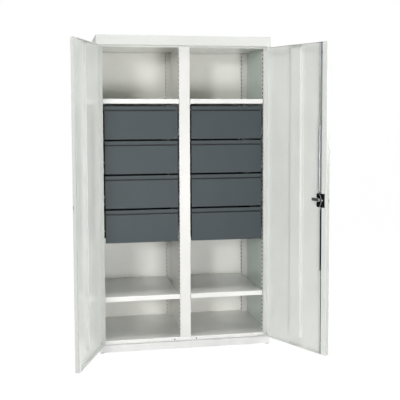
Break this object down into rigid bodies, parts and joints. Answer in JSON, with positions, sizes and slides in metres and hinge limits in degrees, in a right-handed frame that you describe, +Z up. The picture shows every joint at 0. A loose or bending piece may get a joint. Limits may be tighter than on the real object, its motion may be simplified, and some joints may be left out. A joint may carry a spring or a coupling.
{
  "type": "storage cabinet",
  "caption": "Tall two-door steel cupboard with a centre partition, shelves, stacks of drawers on runners and a twist-handle rod lock.",
  "frame": {"origin": "on the floor, under the middle of the carcass (doors not counted)", "axes": "+X to the right seen from the front, +Y from the doors to the back, +Z up"},
  "size_m": [1.3951, 1.0705, 1.83],
  "materials": {
    "carcass_paint": "light grey powder coat, satin",
    "door_paint": "light grey powder coat, fairly glossy",
    "shelf_paint": "near-white powder coat, satin",
    "drawer_paint": "dark grey powder coat, fine texture",
    "zinc_steel": "bright zinc plating",
    "dark_steel": "dark oiled steel",
    "black_plastic": "moulded black plastic",
    "black_rubber": "moulded black rubber",
    "bright_metal": "polished"
  },
  "bodies": {
    "carcass": {"top_cap": "carcass_paint", "ceiling_panel": "carcass_paint", "header_rails": "carcass_paint", "base_plinth": "carcass_paint", "floor_panel": "carcass_paint", "left_side_panel": "carcass_paint", "right_side_panel": "carcass_paint", "back_panel": "carcass_paint", "centre_partition": "carcass_paint", "left_front_post": "carcass_paint", "right_front_post": "carcass_paint", "left_rear_post": "carcass_paint", "right_rear_post": "carcass_paint", "centre_front_post": "carcass_paint", "centre_rear_post": "carcass_paint", "shelf_clips": "zinc_steel", "floor_glides": "black_rubber", "assembly_screws": "zinc_steel", "door_buffers": "black_rubber", "hinge_washers": "zinc_steel", "left_upper_shelf": "shelf_paint", "left_lower_shelf": "shelf_paint", "right_upper_shelf": "shelf_paint", "right_lower_shelf": "shelf_paint", "left_runners": "zinc_steel", "right_runners": "zinc_steel"},
    "left_door": {"left_door_panel": "door_paint", "left_door_stiffener": "door_paint", "left_hinge_pins": "zinc_steel", "closing_strip": "door_paint"},
    "right_door": {"right_door_panel": "door_paint", "right_door_stiffener": "door_paint", "right_hinge_pins": "zinc_steel", "lock_case": "black_plastic", "rod_guides": "zinc_steel", "escutcheon": "black_plastic"},
    "handle": {"twist_handle": "black_plastic", "lock_cam": "zinc_steel"},
    "key": {"key_cylinder": "bright_metal"},
    "upper_rod": {"upper_lock_rod": "zinc_steel"},
    "lower_rod": {"lower_lock_rod": "dark_steel"},
    "bolt": {"latch_bolt": "dark_steel"},
    "left_drawer_1": {"left_drawer_1_front": "drawer_paint", "left_drawer_1_tray": "drawer_paint"},
    "left_drawer_2": {"left_drawer_2_front": "drawer_paint", "left_drawer_2_tray": "drawer_paint"},
    "left_drawer_3": {"left_drawer_3_front": "drawer_paint", "left_drawer_3_tray": "drawer_paint"},
    "left_drawer_4": {"left_drawer_4_front": "drawer_paint", "left_drawer_4_tray": "drawer_paint"},
    "right_drawer_1": {"right_drawer_1_front": "drawer_paint", "right_drawer_1_tray": "drawer_paint"},
    "right_drawer_2": {"right_drawer_2_front": "drawer_paint", "right_drawer_2_tray": "drawer_paint"},
    "right_drawer_3": {"right_drawer_3_front": "drawer_paint", "right_drawer_3_tray": "drawer_paint"},
    "right_drawer_4": {"right_drawer_4_front": "drawer_paint", "right_drawer_4_tray": "drawer_paint"}
  },
  "joints": [
    {"name": "left_door_hinge", "type": "hinge", "parent": "carcass", "child": "left_door", "pos_m": [-0.496, -0.288, 0.908], "axis": [0, 0, -1], "range_deg": [-109, 60]},
    {"name": "right_door_hinge", "type": "hinge", "parent": "carcass", "child": "right_door", "pos_m": [0.496, -0.288, 0.908], "axis": [0, 0, 1], "range_deg": [-116, 54]},
    {"name": "handle_turn", "type": "hinge", "parent": "right_door", "child": "handle", "pos_m": [0.69517, -0.6804, 0.905], "axis": [0.8988, 0.4384, 0], "range_deg": [0, 90]},
    {"name": "key_turn", "type": "hinge", "parent": "handle", "child": "key", "pos_m": [0.69517, -0.6804, 0.905], "axis": [0.8988, 0.4384, 0], "range_deg": [0, 90]},
    {"name": "upper_rod_slide", "type": "slide", "parent": "right_door", "child": "upper_rod", "axis": [0, 0, 1], "range_m": [0, 0.01804]},
    {"name": "lower_rod_slide", "type": "slide", "parent": "right_door", "child": "lower_rod", "axis": [0, 0, -1], "range_m": [0, 0.01804]},
    {"name": "bolt_slide", "type": "slide", "parent": "right_door", "child": "bolt", "axis": [0.4384, -0.8988, 0], "range_m": [0, 0.01804]},
    {"name": "left_drawer_1_slide", "type": "slide", "parent": "carcass", "child": "left_drawer_1", "axis": [0, -1, 0], "range_m": [0, 0.38]},
    {"name": "left_drawer_2_slide", "type": "slide", "parent": "carcass", "child": "left_drawer_2", "axis": [0, -1, 0], "range_m": [0, 0.38]},
    {"name": "left_drawer_3_slide", "type": "slide", "parent": "carcass", "child": "left_drawer_3", "axis": [0, -1, 0], "range_m": [0, 0.38]},
    {"name": "left_drawer_4_slide", "type": "slide", "parent": "carcass", "child": "left_drawer_4", "axis": [0, -1, 0], "range_m": [0, 0.38]},
    {"name": "right_drawer_1_slide", "type": "slide", "parent": "carcass", "child": "right_drawer_1", "axis": [0, -1, 0], "range_m": [0, 0.38]},
    {"name": "right_drawer_2_slide", "type": "slide", "parent": "carcass", "child": "right_drawer_2", "axis": [0, -1, 0], "range_m": [0, 0.38]},
    {"name": "right_drawer_3_slide", "type": "slide", "parent": "carcass", "child": "right_drawer_3", "axis": [0, -1, 0], "range_m": [0, 0.38]},
    {"name": "right_drawer_4_slide", "type": "slide", "parent": "carcass", "child": "right_drawer_4", "axis": [0, -1, 0], "range_m": [0, 0.38]}
  ],
  "couplings": [
    {"joint": "upper_rod_slide", "follows": "handle_turn", "m_per_rad": 0.011479},
    {"joint": "lower_rod_slide", "follows": "handle_turn", "m_per_rad": 0.011479},
    {"joint": "bolt_slide", "follows": "handle_turn", "m_per_rad": 0.011479}
  ]
}
